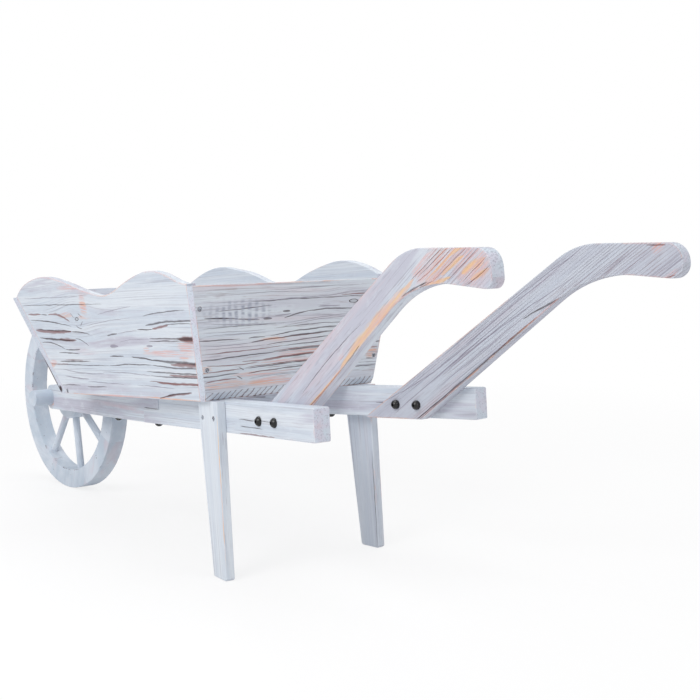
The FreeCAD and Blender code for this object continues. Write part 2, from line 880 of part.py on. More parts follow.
def box_nodes():
    nodes = {"side_board_left": side_board(left_scallop_shares)}
    nodes["side_board_right"] = to_right(side_board(right_scallop_shares))
    nodes["front_board"] = front_board()
    nodes["rear_board"] = rear_board()
    for i in range(plank_count):
        nodes["floor_plank_%d" % (i + 1)] = floor_plank(i)
    return nodes


def wheel_nodes():
    nodes = {"hub": hub(), "axle": axle()}
    for i in range(felloe_count):
        nodes["felloe_%d" % (i + 1)] = felloe(i)
    for i in range(spoke_count):
        nodes["spoke_%d" % (i + 1)] = spoke(i)
    return nodes


def stacked(places, height):
    """The same places, raised along their outward direction."""
    return [(point + outward * height, outward) for point, outward in places]


def fastener_nodes():
    tops = both_sides(floor_spots())
    handle_bolt_length = rail_thickness + handle_thickness - bolt_socket_depth * 2
    rail_bolt_length = rail_height + plank_thickness + washer_height + nut_height
    return {
        "handle_bolts": group(bolt(handle_bolt_length), with_right_setback(handle_bolt_spots)),
        "handle_cap_nuts": group(cap_nut(), with_right_setback(cap_nut_spots)),
        "rail_bolts": group(bolt(rail_bolt_length), both_sides(rail_bolt_spots())),
        "rail_bolt_washers": group(washer(), tops),
        "rail_bolt_nuts": group(nut(), stacked(tops, washer_height)),
        "leg_screws": group(screw(leg_screw_length), both_sides(leg_screw_spots())),
        "rear_board_screws": group(screw(board_screw_length), both_sides(rear_screw_spots())),
        "front_board_screws": group(screw(board_screw_length), both_sides(front_screw_spots())),
        "side_board_screws": group(screw(side_screw_length), both_sides(side_screw_spots())),
        "floor_screws": group(screw(floor_screw_length), both_sides(floor_screw_spots())),
    }


def place_on_ground(nodes):
    """Tips the level barrow on to wheel and feet, and puts the origin at the bottom centre of its box."""
    for shape in nodes.values():
        shape.rotate(ORIGIN, ACROSS, -rail_slope_deg)
        shape.translate(Vector(0, 0, rail_mid_height))
    front = axle_x * math.cos(rail_pitch) - wheel_radius
    rear = max(shape.optimalBoundingBox(False).XMax for shape in nodes.values())
    for shape in nodes.values():
        shape.translate(Vector(-(front + rear) / 2, 0, 0))
    return nodes


def build():
    nodes = {}
    nodes.update(frame_nodes())
    nodes.update(box_nodes())
    nodes.update(wheel_nodes())
    nodes.update(fastener_nodes())
    return place_on_ground(nodes)


def main():
    os.makedirs("parts", exist_ok=True)
    for name, shape in build().items():
        if not shape.isValid():
            raise ValueError("invalid shape: " + name)
        shape.exportStep("parts/" + name + ".step")
        box = shape.BoundBox
        print(name, len(shape.Solids), "%.0f x %.0f x %.0f" % (box.XLength, box.YLength, box.ZLength))


main()
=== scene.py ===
"""Worn whitewashed wooden wheelbarrow: finishes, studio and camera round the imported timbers.

Metres, with +X back to the handles and +Z up. Timbers are described in the barrow's own level frame in
millimetres, from the middle of the rails, and barrow_point tips them on to the wheel and feet.
"""
import math

import bpy
from mathutils import Matrix
from mathutils import Vector

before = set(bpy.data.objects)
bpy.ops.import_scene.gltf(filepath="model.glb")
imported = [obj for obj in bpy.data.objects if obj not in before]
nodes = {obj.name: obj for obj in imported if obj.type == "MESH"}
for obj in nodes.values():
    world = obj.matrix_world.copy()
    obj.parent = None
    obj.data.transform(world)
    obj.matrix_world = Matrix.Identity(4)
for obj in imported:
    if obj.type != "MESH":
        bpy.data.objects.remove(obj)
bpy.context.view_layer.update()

# Stance of the barrow and the directions of its boards
barrow_tilt = math.radians(4.5)
barrow_origin = Vector((-0.142852, 0.0, 0.206854))
rail_toe_in = math.radians(5.6)
front_toe_in = math.radians(7.75)
side_taper = math.tan(math.radians(0.9))
side_splay = math.tan(math.radians(9.9))
rear_rake = math.tan(math.radians(8.5))
front_rake = math.tan(math.radians(33.8))
handle_rise = math.radians(32.2)
leg_lean = math.radians(3.2)
axle_centre = Vector((-0.547601, 0.0, 0.175))
foot_place = (0.160381, 0.140094)
first_spoke_turn = math.radians(6.0)
felloe_turn = math.radians(28.0)

# Where the finishes of the timbers are counted from, in millimetres of the level frame
box_bottom = 22.5
side_board_place = 151
rear_board_place = 286.5
front_board_place = -163.5
first_plank_middle = -105.45
plank_pitch = 84.2
rail_place = 105
lap_middle = (62.9, 98.6)
lap_to_box_middle = 62
handle_place = (500, 160, 90)


def barrow_point(x, y, z):
    """World place in metres of a point of the level frame, given in millimetres."""
    return barrow_origin + barrow_direction(x, y, z) / 1000


def barrow_direction(x, y, z):
    """World direction of a vector of the level frame."""
    turned_x = x * math.cos(barrow_tilt) - z * math.sin(barrow_tilt)
    turned_z = x * math.sin(barrow_tilt) + z * math.cos(barrow_tilt)
    return Vector((turned_x, y, turned_z))


def tone(red, green, blue):
    """Linear colour of an on-screen tone from 0 to 255."""
    channels = []
    for value in (red, green, blue):
        share = value / 255
        channels.append(share / 12.92 if share <= 0.04045 else ((share + 0.055) / 1.055) ** 2.4)
    return (*channels, 1.0)


# Tones of the finishes
# The pale wash is also the painted highlight along the outside edges
pale_wash_and_highlight = tone(214, 220, 227)
wash_blue = tone(199, 208, 219)
wash_lilac = tone(189, 189, 202)
wash_rose = tone(204, 188, 197)
# The thin wash is also the painted shade on the right leg
thin_wash_and_shade_tone = tone(180, 184, 196)
# Open grain is also the colour of the painted shade lines in the front rails' lap seams and along the front
# board's ends
open_grain_and_shade = tone(58, 42, 47)
fine_grain = tone(132, 126, 142)
resin_brown = tone(122, 68, 62)
bare_orange = tone(222, 166, 136)
bare_yellow = tone(228, 184, 128)
bare_pink = tone(214, 168, 164)
end_lilac = tone(202, 203, 216)
end_rose = tone(204, 190, 200)
wheel_pale = tone(206, 214, 224)
wheel_blue = tone(186, 198, 211)
wheel_chip = tone(104, 96, 108)
wash_bar = tone(142, 148, 166)

# Width in metres of the edges that carry the painted highlight and the rubbed wear, and millimetres between
# the bars of the band saw
edge_radius = 0.003
bar_pitch = 11.0


# Short ways to add and join shader nodes
def feed(tree, value, socket):
    """Links a socket, or sets a plain value."""
    if isinstance(value, bpy.types.NodeSocket):
        tree.links.new(value, socket)
    else:
        socket.default_value = value


def calc(tree, operation, *values):
    node = tree.nodes.new("ShaderNodeMath")
    node.operation = operation
    for value, socket in zip(values, node.inputs):
        feed(tree, value, socket)
    return node.outputs[0]


def vector_calc(tree, operation, first, second, output=0):
    node = tree.nodes.new("ShaderNodeVectorMath")
    node.operation = operation
    feed(tree, first, node.inputs[0])
    feed(tree, second, node.inputs[1])
    return node.outputs[output]


def fade(tree, value, low, high, from_value=0.0, to_value=1.0):
    """Smooth step from one value to another while the input goes from low to high."""
    node = tree.nodes.new("ShaderNodeMapRange")
    node.interpolation_type = "SMOOTHSTEP"
    for name, given in zip(("Value", "From Min", "From Max", "To Min", "To Max"),
                           (value, low, high, from_value, to_value)):
        feed(tree, given, node.inputs[name])
    return node.outputs["Result"]


def stain(tree, share, under, over, style="MIX"):
    """Lays one colour over another."""
    node = tree.nodes.new("ShaderNodeMix")
    node.data_type = "RGBA"
    node.blend_type = style
    feed(tree, share, node.inputs[0])
    feed(tree, under, node.inputs[6])
    feed(tree, over, node.inputs[7])
    return node.outputs[2]


def parts_of(tree, place):
    """The three parts of a place."""
    split = tree.nodes.new("ShaderNodeSeparateXYZ")
    feed(tree, place, split.inputs[0])
    return list(split.outputs)


def place_of(tree, *parts):
    """Place put together from its three parts."""
    joined = tree.nodes.new("ShaderNodeCombineXYZ")
    for value, socket in zip(parts, joined.inputs):
        feed(tree, value, socket)
    return joined.outputs[0]


def new_material(name):
    """Material, its node tree and its main shader."""
    material = bpy.data.materials.new(name)
    material.use_nodes = True
    return material, material.node_tree, material.node_tree.nodes["Principled BSDF"]


def add_relief(tree, shader, height, strength, distance):
    """Bumps the surface by a height, of which 1 is as high as the distance in metres."""
    bump = tree.nodes.new("ShaderNodeBump")
    bump.inputs["Strength"].default_value = strength
    bump.inputs["Distance"].default_value = distance
    feed(tree, height, bump.inputs["Height"])
    feed(tree, bump.outputs[0], shader.inputs["Normal"])


def stretched(tree, place, scale, offset=(0.0, 0.0, 0.0)):
    """Place scaled differently along, across and through the timber."""
    node = tree.nodes.new("ShaderNodeMapping")
    feed(tree, place, node.inputs["Vector"])
    node.inputs["Location"].default_value = offset
    node.inputs["Scale"].default_value = scale
    return node.outputs[0]


def mottle(tree, place, scale, detail=2.0, roughness=0.5, offset=(0.0, 0.0, 0.0)):
    """Noise with its own number of waves a metre along, across and through the timber."""
    node = tree.nodes.new("ShaderNodeTexNoise")
    feed(tree, stretched(tree, place, scale, offset), node.inputs["Vector"])
    node.inputs["Scale"].default_value = 1.0
    node.inputs["Detail"].default_value = detail
    node.inputs["Roughness"].default_value = roughness
    return node.outputs["Fac"]


def on_timber(tree, origin, along, across):
    """Place along, across and through a timber in metres, and how far a face looks along and through it."""
    first = along.normalized()
    third = first.cross(across).normalized()
    second = third.cross(first)
    turn = Matrix((first, second, third)).transposed().to_euler("XYZ")
    mapping = tree.nodes.new("ShaderNodeMapping")
    mapping.vector_type = "TEXTURE"
    mapping.inputs["Location"].default_value = origin
    mapping.inputs["Rotation"].default_value = turn
    coordinates = tree.nodes.new("ShaderNodeTexCoord")
    feed(tree, coordinates.outputs["Object"], mapping.inputs["Vector"])
    end_share = vector_calc(tree, "DOT_PRODUCT", coordinates.outputs["Normal"], first, 1)
    face_share = vector_calc(tree, "DOT_PRODUCT", coordinates.outputs["Normal"], third, 1)
    return mapping.outputs[0], calc(tree, "ABSOLUTE", end_share), calc(tree, "ABSOLUTE", face_share)


def outside_edge_share(tree, radius):
    """Share by which a point lies on an outside edge, from the rounded normal."""
    rounded = tree.nodes.new("ShaderNodeBevel")
    rounded.samples = 4
    rounded.inputs["Radius"].default_value = radius
    geometry = tree.nodes.new("ShaderNodeNewGeometry")
    likeness = vector_calc(tree, "DOT_PRODUCT", rounded.outputs[0], geometry.outputs["True Normal"], 1)
    return fade(tree, likeness, 0.995, 0.86)


def growth_lines(tree, bent, place, pitch, shift):
    """Long fine lines of late wood, about pitch millimetres apart, that swell, narrow and vanish."""
    height, through = parts_of(tree, bent)[1:]
    across = calc(tree, "ADD", height, calc(tree, "MULTIPLY", through, 0.35))
    drift = mottle(tree, bent, (1.1, 16.0, 16.0), 2.0, 0.5, shift)
    count = calc(tree, "MULTIPLY_ADD", across, 1000 / pitch, calc(tree, "MULTIPLY", drift, 6.0))
    off_line = calc(tree, "PINGPONG", count, 0.5)
    swell = mottle(tree, place, (7.0, 90.0, 90.0), 2.0, 0.6, (shift[2], shift[1], shift[0]))
    width = fade(tree, swell, 0.36, 0.7, 0.0, 0.13)
    soft = calc(tree, "MULTIPLY", width, 0.35)
    return fade(tree, off_line, soft, calc(tree, "ADD", width, 0.03), 1.0, 0.0)


def new_mask_group(name, sizes):
    """Node group that takes a place with a width factor in its third part, and sizes, and gives a mask."""
    tree = bpy.data.node_groups.new(name, "ShaderNodeTree")
    tree.interface.new_socket("Place", in_out="INPUT", socket_type="NodeSocketVector")
    for size in sizes:
        tree.interface.new_socket(size, in_out="INPUT", socket_type="NodeSocketFloat")
    tree.interface.new_socket("Mask", in_out="OUTPUT", socket_type="NodeSocketFloat")
    return tree, tree.nodes.new("NodeGroupInput").outputs


def make_streak_group():
    """Node group that draws one long tapered streak, bowed like the fibre beside it, for lines of grain,
    bare wood and painted shade.
    """
    sizes = ("Start", "Start height", "End", "End height", "Bow", "Width")
    tree, given = new_mask_group("tapered streak", sizes)
    along, height, width_factor = parts_of(tree, given["Place"])
    run = tree.nodes.new("ShaderNodeMapRange")
    feed(tree, along, run.inputs["Value"])
    feed(tree, given["Start"], run.inputs["From Min"])
    feed(tree, given["End"], run.inputs["From Max"])
    share = run.outputs["Result"]
    arch = calc(tree, "MULTIPLY", share, calc(tree, "SUBTRACT", 1.0, share))
    arch = calc(tree, "MULTIPLY", arch, 4.0)
    rise = calc(tree, "SUBTRACT", given["End height"], given["Start height"])
    straight = calc(tree, "MULTIPLY_ADD", rise, share, given["Start height"])
    line = calc(tree, "MULTIPLY_ADD", given["Bow"], arch, straight)
    distance = calc(tree, "ABSOLUTE", calc(tree, "SUBTRACT", height, line))
    half = calc(tree, "MULTIPLY", calc(tree, "SQRT", arch), calc(tree, "MULTIPLY", given["Width"], 0.5))
    ragged = calc(tree, "MULTIPLY", half, width_factor)
    inner = calc(tree, "MULTIPLY", ragged, 0.4)
    mask = fade(tree, distance, inner, calc(tree, "MULTIPLY", ragged, 1.5), 1.0, 0.0)
    result = tree.nodes.new("NodeGroupOutput")
    feed(tree, mask, result.inputs["Mask"])
    return tree


def make_patch_group():
    """Node group that draws one soft oval patch."""
    tree, given = new_mask_group("soft oval patch", ("Middle", "Middle height", "Half length", "Half height"))
    along, height, width_factor = parts_of(tree, given["Place"])
    away = calc(tree, "SUBTRACT", along, given["Middle"])
    away = calc(tree, "DIVIDE", away, given["Half length"])
    off = calc(tree, "SUBTRACT", height, given["Middle height"])
    off = calc(tree, "DIVIDE", off, given["Half height"])
    reach = calc(tree, "ADD", calc(tree, "MULTIPLY", away, away), calc(tree, "MULTIPLY", off, off))
    mask = fade(tree, reach, 0.1, calc(tree, "MULTIPLY", width_factor, 1.3), 1.0, 0.0)
    result = tree.nodes.new("NodeGroupOutput")
    feed(tree, mask, result.inputs["Mask"])
    return tree


streak_group = make_streak_group()
patch_group = make_patch_group()


def eye_rings(tree, place, rows):
    """Dark rings of small knots with a paler middle."""
    outer = marks(tree, patch_group, place, rows)
    return calc(tree, "MULTIPLY", fade(tree, outer, 0.15, 0.35), fade(tree, outer, 0.6, 0.85, 1.0, 0.25))


def marks(tree, group, place, rows):
    """Greatest mask of a list of streaks or patches, whose sizes are in millimetres."""
    total = 0.0
    for row in rows:
        node = tree.nodes.new("ShaderNodeGroup")
        node.node_tree = group
        feed(tree, place, node.inputs[0])
        for value, socket in zip(row, list(node.inputs)[1:]):
            socket.default_value = value / 1000
        total = calc(tree, "MAXIMUM", total, node.outputs[0])
    return total


def wavy(tree, place, knots, sway):
    """Height across the timber, bent by the sway of the grain and round its knots."""
    along, height, through = parts_of(tree, place)
    drift = calc(tree, "SUBTRACT", mottle(tree, place, (3.5, 5.0, 5.0), 1.0), 0.5)
    bent = calc(tree, "MULTIPLY_ADD", drift, sway, height)
    for middle, middle_height, half_length, half_height in knots:
        away = calc(tree, "MULTIPLY", calc(tree, "SUBTRACT", along, middle / 1000), 500 / half_length)
        off = calc(tree, "SUBTRACT", height, middle_height / 1000)
        off_share = calc(tree, "MULTIPLY", off, 500 / half_height)
        spread = calc(tree, "MULTIPLY", off_share, off_share)
        spread = calc(tree, "ADD", calc(tree, "MULTIPLY", away, away), spread)
        pull = calc(tree, "EXPONENT", calc(tree, "MULTIPLY", spread, -1.0))
        bent = calc(tree, "SUBTRACT", bent, calc(tree, "MULTIPLY", calc(tree, "MULTIPLY", off, pull), 0.8))
    return place_of(tree, along, bent, through)


def with_raggedness(tree, place, wobble):
    """Place nudged by fine noise, with a width factor in its third part for streaks and patches."""
    nudge = calc(tree, "SUBTRACT", mottle(tree, place, (30.0, 60.0, 60.0), 2.0), 0.5)
    along, height = parts_of(tree, place)[:2]
    patchy = mottle(tree, place, (55.0, 180.0, 180.0), 2.0)
    nudged = calc(tree, "MULTIPLY_ADD", nudge, wobble, height)
    return place_of(tree, along, nudged, calc(tree, "MULTIPLY_ADD", patchy, 1.6, 0.2))


def wash_ground(tree, place, bent, shift, lilac, rose):
    """Pale wash with bluish, lilac and rosy drifts along the grain, and its brushed hairs and scuffs."""
    turned_shift = (shift[1], shift[2], shift[0])
    drifts = mottle(tree, bent, (3.0, 70.0, 70.0), 4.0, 0.6, shift)
    colour = stain(tree, fade(tree, drifts, 0.38, 0.62), pale_wash_and_highlight, wash_blue)
    shade = mottle(tree, bent, (2.4, 26.0, 26.0), 4.0, 0.65, turned_shift)
    colour = stain(tree, fade(tree, shade, 0.62 - 0.25 * lilac, 0.76 - 0.25 * lilac), colour, wash_lilac)
    blush = mottle(tree, bent, (2.8, 40.0, 40.0), 3.0, 0.6, (shift[2], shift[0], shift[1]))
    rosy = fade(tree, blush, 0.66 - 0.25 * rose, 0.8 - 0.25 * rose, 0.0, 0.8)
    colour = stain(tree, rosy, colour, wash_rose)
    brushed = mottle(tree, bent, (6.0, 620.0, 620.0), 3.0, 0.65, shift)
    colour = stain(tree, fade(tree, brushed, 0.46, 0.7, 0.0, 0.5), colour, thin_wash_and_shade_tone)
    scuffs = mottle(tree, place, (34.0, 70.0, 70.0), 4.0, 0.7, turned_shift)
    colour = stain(tree, fade(tree, scuffs, 0.5, 0.72, 0.0, 0.45), colour, pale_wash_and_highlight)
    return colour, brushed, scuffs


def grain_lines(tree, place, bent, ragged, shift, grain, rings, pitch, dense):
    """Masks of the lines of late wood, of hairs and of sparse open grain."""
    presence = mottle(tree, place, (4.0, 16.0, 16.0), 2.0, 0.5, (shift[0], shift[2], shift[1]))
    shown = fade(tree, presence, 0.7 - 0.45 * rings, 0.86 - 0.45 * rings)
    shown = calc(tree, "MAXIMUM", shown, marks(tree, patch_group, ragged, dense))
    ring_lines = calc(tree, "MULTIPLY", growth_lines(tree, bent, place, pitch, shift), shown)
    hair = mottle(tree, bent, (3.6, 520.0, 520.0), 2.0, 0.5, (shift[1], shift[2], shift[0]))
    lines = mottle(tree, bent, (3.2, 190.0, 190.0), 2.0, 0.55, shift)
    lines = calc(tree, "MULTIPLY", fade(tree, lines, 0.68 - 0.06 * grain, 0.73 - 0.06 * grain),
                 fade(tree, presence, 0.66 - 0.3 * grain, 0.76 - 0.3 * grain))
    return ring_lines, fade(tree, hair, 0.6, 0.68), lines


def edges_and_wear(tree, place, shift, wear):
    """Shares of the outside edges, and of their places rubbed through to bare wood."""
    edge = outside_edge_share(tree, edge_radius)
    bare = mottle(tree, place, (9.0, 12.0, 12.0), 4.0, 0.65, shift)
    bared = fade(tree, bare, 0.64 - 0.22 * wear, 0.72 - 0.22 * wear, 0.0, 0.9)
    return edge, calc(tree, "MULTIPLY", fade(tree, edge, 0.05, 0.4), bared)


def end_grain(tree, place, shift):
    """Colour of a sawn end, darker and mottled, with no lines along it."""
    pores = mottle(tree, place, (220.0, 420.0, 420.0), 3.0, 0.65)
    blotches = mottle(tree, place, (40.0, 60.0, 60.0), 3.0, 0.6, shift)
    colour = stain(tree, fade(tree, blotches, 0.4, 0.62), wash_blue, end_lilac)
    colour = stain(tree, fade(tree, blotches, 0.6, 0.72, 0.0, 0.6), colour, end_rose)
    return stain(tree, fade(tree, pores, 0.52, 0.66, 0.0, 0.4), colour, fine_grain)


def end_spots_and_shade(tree, place, rows):
    """Dark spots and painted shadow lines on a sawn end, as places and sizes through and across the timber.
    """
    height, through = parts_of(tree, place)[1:]
    return marks(tree, patch_group, place_of(tree, through, height, 1.0), rows)


def whitewashed(name, origin, along, across, seed=0.0, knots=(), dark=(), faint=(), red=(), worn=(),
                golden=(), wear=0.35, grain=0.3, rings=0.3, pitch=7.0, lilac=0.4, rose=0.2, sway=0.012,
                bars=None, slashes=(), eyes=(), dense=(), thin_wash_and_shade=0.0, pale=0.0, flecks=0.25, ring_share=0.4,
                gilding=0.85, end_marks=()):
    """Rough-sawn fir under a worn whitewash, with its grain along the timber."""
    material, tree, shader = new_material(name)
    place, end_share, face_share = on_timber(tree, origin, along, across)
    bent = wavy(tree, place, knots, sway)
    shift = (seed * 3.1, seed * 1.7, seed * 2.3)
    ragged = with_raggedness(tree, place, 0.003)

    # Whitewash, thinner or paler on some timbers; on the right leg the thin-wash tone is painted shade
    colour, brushed, scuffs = wash_ground(tree, place, bent, shift, lilac, rose)
    colour = stain(tree, thin_wash_and_shade, colour, thin_wash_and_shade_tone)
    colour = stain(tree, pale, colour, pale_wash_and_highlight)

    # Grain lines, grey or reddish
    redness = mottle(tree, place, (6.0, 40.0, 40.0), 1.0, 0.5, shift)
    line_colour = stain(tree, fade(tree, redness, 0.45, 0.6), fine_grain, resin_brown)
    deep_colour = stain(tree, fade(tree, redness, 0.42, 0.6), open_grain_and_shade, resin_brown)
    ring_lines, hair, lines = grain_lines(tree, place, bent, ragged, shift, grain, rings, pitch, dense)
    colour = stain(tree, calc(tree, "MULTIPLY", hair, 0.3 + 0.4 * rings), colour, fine_grain)
    colour = stain(tree, calc(tree, "MULTIPLY", ring_lines, ring_share + 0.35 * rings), colour, line_colour)
    colour = stain(tree, calc(tree, "MULTIPLY", lines, 0.75), colour, deep_colour)
    dashes = mottle(tree, bent, (26.0, 340.0, 340.0), 2.0, 0.6, (shift[1], shift[2], shift[0]))
    colour = stain(tree, fade(tree, dashes, 0.56, 0.68, 0.0, flecks), colour, line_colour)

    # Marks on the timber's broad faces: grain, bare wood and, where given, painted shade lines in joints
    on_face = fade(tree, face_share, 0.5, 0.7)
    fibres = mottle(tree, bent, (11.0, 300.0, 300.0), 3.0, 0.65, shift)
    fine_fibres = mottle(tree, bent, (14.0, 700.0, 700.0), 3.0, 0.6, shift)
    breaks = calc(tree, "MULTIPLY", fade(tree, fine_fibres, 0.4, 0.62, 0.05, 1.0), on_face)
    solid = calc(tree, "MULTIPLY", fade(tree, fibres, 0.3, 0.55, 0.95, 0.7), on_face)
    warm = stain(tree, fade(tree, redness, 0.42, 0.58), bare_orange, bare_pink)
    rubbed = calc(tree, "MULTIPLY", marks(tree, patch_group, ragged, worn), breaks)
    colour = stain(tree, calc(tree, "MULTIPLY", rubbed, 0.85), colour, warm)
    gilded = calc(tree, "MULTIPLY", marks(tree, streak_group, ragged, golden), on_face)
    gilded = calc(tree, "MULTIPLY", gilded, fade(tree, fibres, 0.3, 0.5, 0.3 * gilding, gilding))
    gold = stain(tree, fade(tree, fibres, 0.4, 0.56), bare_orange, bare_yellow)
    colour = stain(tree, gilded, colour, gold)
    faint_lines = calc(tree, "MULTIPLY", marks(tree, streak_group, ragged, faint), on_face)
    colour = stain(tree, calc(tree, "MULTIPLY", faint_lines, 0.75), colour, fine_grain)
    red_lines = calc(tree, "MULTIPLY", marks(tree, streak_group, ragged, red), solid)
    colour = stain(tree, red_lines, colour, resin_brown)
    dark_lines = calc(tree, "MULTIPLY", marks(tree, streak_group, ragged, dark), solid)
    if eyes:
        calm = with_raggedness(tree, place, 0.0012)
        halo = calc(tree, "MULTIPLY", marks(tree, patch_group, calm, eyes), 0.5)
        colour = stain(tree, halo, colour, pale_wash_and_highlight)
        eye_lines = calc(tree, "MULTIPLY", eye_rings(tree, calm, eyes), on_face)
        dark_lines = calc(tree, "MAXIMUM", dark_lines, eye_lines)
    colour = stain(tree, dark_lines, colour, open_grain_and_shade)
    if slashes:
        saw_cuts, saw_light = saw_slashes(tree, place, slashes)
        colour = stain(tree, saw_light, colour, wash_blue)
        colour = stain(tree, calc(tree, "MULTIPLY", saw_cuts, 0.8), colour, open_grain_and_shade)
        dark_lines = calc(tree, "MAXIMUM", dark_lines, saw_cuts)
    if bars:
        colour = stain(tree, saw_bars(tree, place, bars), colour, wash_bar)

    # Edges: a painted highlight, paler along every outside edge, and here and there rubbed through to warm
    # wood
    edge, edge_wear = edges_and_wear(tree, place, shift, wear)
    colour = stain(tree, calc(tree, "MULTIPLY", edge, 0.6), colour, pale_wash_and_highlight)
    colour = stain(tree, edge_wear, colour, warm)

    # Sawn ends
    ends = fade(tree, end_share, 0.75, 0.9)
    colour = stain(tree, ends, colour, end_grain(tree, place, shift))
    # Dark spots on the sawn ends, and painted shadow lines along their edges
    if end_marks:
        spots = calc(tree, "MULTIPLY", end_spots_and_shade(tree, place, end_marks), ends)
        colour = stain(tree, spots, colour, open_grain_and_shade)
    feed(tree, colour, shader.inputs["Base Color"])

    # Relief of the fibre, open grain and rubbed places
    cut = calc(tree, "MAXIMUM", red_lines, ring_lines)
    cut = calc(tree, "MAXIMUM", calc(tree, "MAXIMUM", lines, dark_lines), cut)
    relief = calc(tree, "SUBTRACT", calc(tree, "MULTIPLY", brushed, 0.5), cut)
    relief = calc(tree, "ADD", relief, calc(tree, "MULTIPLY", scuffs, 0.5))
    add_relief(tree, shader, relief, 0.6, 0.0009)
    roughness = calc(tree, "MULTIPLY_ADD", fibres, 0.25, 0.62)
    roughness = calc(tree, "SUBTRACT", roughness, calc(tree, "MULTIPLY", rubbed, 0.12))
    feed(tree, roughness, shader.inputs["Roughness"])
    shader.inputs["Specular IOR Level"].default_value = 0.35
    return material


def saw_slashes(tree, place, band):
    """Slanted cuts of a coarse saw in a band along a board's lower edge, dark beside pale."""
    low, high, pitch, slant = band
    along, height = parts_of(tree, place)[:2]
    wander = mottle(tree, place, (24.0, 30.0, 30.0), 2.0)
    run = calc(tree, "MULTIPLY_ADD", height, -slant, along)
    count = calc(tree, "MULTIPLY_ADD", run, 1000 / pitch, calc(tree, "MULTIPLY", wander, 1.6))
    off_cut = calc(tree, "PINGPONG", count, 0.5)
    limit = calc(tree, "MULTIPLY_ADD", wander, 0.006, high / 1000 - 0.003)
    inside = fade(tree, height, calc(tree, "SUBTRACT", limit, 0.002), limit, 1.0, 0.0)
    inside = calc(tree, "MULTIPLY", inside, fade(tree, height, (low - 1) / 1000, low / 1000))
    broken = fade(tree, mottle(tree, place, (60.0, 160.0, 160.0), 2.0), 0.3, 0.5, 0.3, 1.0)
    cuts = fade(tree, off_cut, 0.02, 0.12, 1.0, 0.0)
    cuts = calc(tree, "MULTIPLY", cuts, calc(tree, "MULTIPLY", inside, broken))
    light = calc(tree, "MULTIPLY", fade(tree, off_cut, 0.18, 0.3), calc(tree, "MULTIPLY", inside, 0.7))
    return cuts, light


def saw_bars(tree, place, patch):
    """Upright bluish bars that a band saw leaves across a patch of a board."""
    ragged = with_raggedness(tree, place, 0.01)
    inside = marks(tree, patch_group, ragged, (patch,))
    along = parts_of(tree, place)[0]
    wander = mottle(tree, place, (20.0, 12.0, 12.0), 2.0)
    count = calc(tree, "MULTIPLY_ADD", along, 1000 / bar_pitch, calc(tree, "MULTIPLY", wander, 1.5))
    bars = fade(tree, calc(tree, "PINGPONG", count, 0.5), 0.08, 0.42, 1.0, 0.0)
    broken = fade(tree, mottle(tree, place, (40.0, 230.0, 230.0), 2.0, 0.6), 0.36, 0.62, 0.1, 0.75)
    return calc(tree, "MULTIPLY", calc(tree, "MULTIPLY", inside, bars), broken)


def brushed_paint(name, origin, along, across, seed=0.0):
    """Smooth pale bluish paint on the wheel, with brush marks, soft smudges and small dark chips."""
    material, tree, shader = new_material(name)
    place = on_timber(tree, origin, along, across)[0]
    shift = (seed * 2.9, seed * 1.3, seed * 2.1)
    clouds = mottle(tree, place, (14.0, 26.0, 26.0), 3.0, 0.6, shift)
    colour = stain(tree, fade(tree, clouds, 0.36, 0.66), wheel_pale, wheel_blue)
    brushed = mottle(tree, place, (16.0, 420.0, 420.0), 2.0, 0.6, shift)
    colour = stain(tree, fade(tree, brushed, 0.45, 0.75, 0.0, 0.35), colour, wash_lilac)
    blush = mottle(tree, place, (12.0, 30.0, 30.0), 2.0, 0.5, (shift[1], shift[0], shift[2]))
    colour = stain(tree, fade(tree, blush, 0.58, 0.74, 0.0, 0.45), colour, wash_rose)
    edge = outside_edge_share(tree, edge_radius)
    spots = mottle(tree, place, (90.0, 90.0, 90.0), 2.0, 0.5, shift)
    chips = calc(tree, "MULTIPLY", fade(tree, edge, 0.05, 0.5), fade(tree, spots, 0.58, 0.64))
    specks = fade(tree, mottle(tree, place, (150.0, 150.0, 150.0), 1.0, 0.5, shift), 0.77, 0.8)
    chips = calc(tree, "MAXIMUM", chips, calc(tree, "MULTIPLY", specks, 0.7))
    colour = stain(tree, chips, colour, wheel_chip)
    feed(tree, colour, shader.inputs["Base Color"])
    relief = calc(tree, "SUBTRACT", calc(tree, "MULTIPLY", brushed, 0.4), chips)
    add_relief(tree, shader, relief, 0.4, 0.0007)
    feed(tree, calc(tree, "MULTIPLY_ADD", clouds, 0.2, 0.5), shader.inputs["Roughness"])
    shader.inputs["Specular IOR Level"].default_value = 0.4
    return material


def black_gloss():
    """Glossy black paint of the round-headed bolts, slightly uneven."""
    material, tree, shader = new_material("glossy black bolts")
    place = tree.nodes.new("ShaderNodeTexCoord").outputs["Object"]
    orange_peel = mottle(tree, place, (900.0, 900.0, 900.0), 2.0)
    dust = mottle(tree, place, (260.0, 260.0, 260.0), 3.0)
    colour = stain(tree, fade(tree, dust, 0.5, 0.8, 0.0, 0.6), tone(6, 6, 9), tone(18, 18, 22))
    feed(tree, colour, shader.inputs["Base Color"])
    feed(tree, fade(tree, dust, 0.3, 0.8, 0.14, 0.34), shader.inputs["Roughness"])
    add_relief(tree, shader, orange_peel, 0.12, 0.0003)
    return material


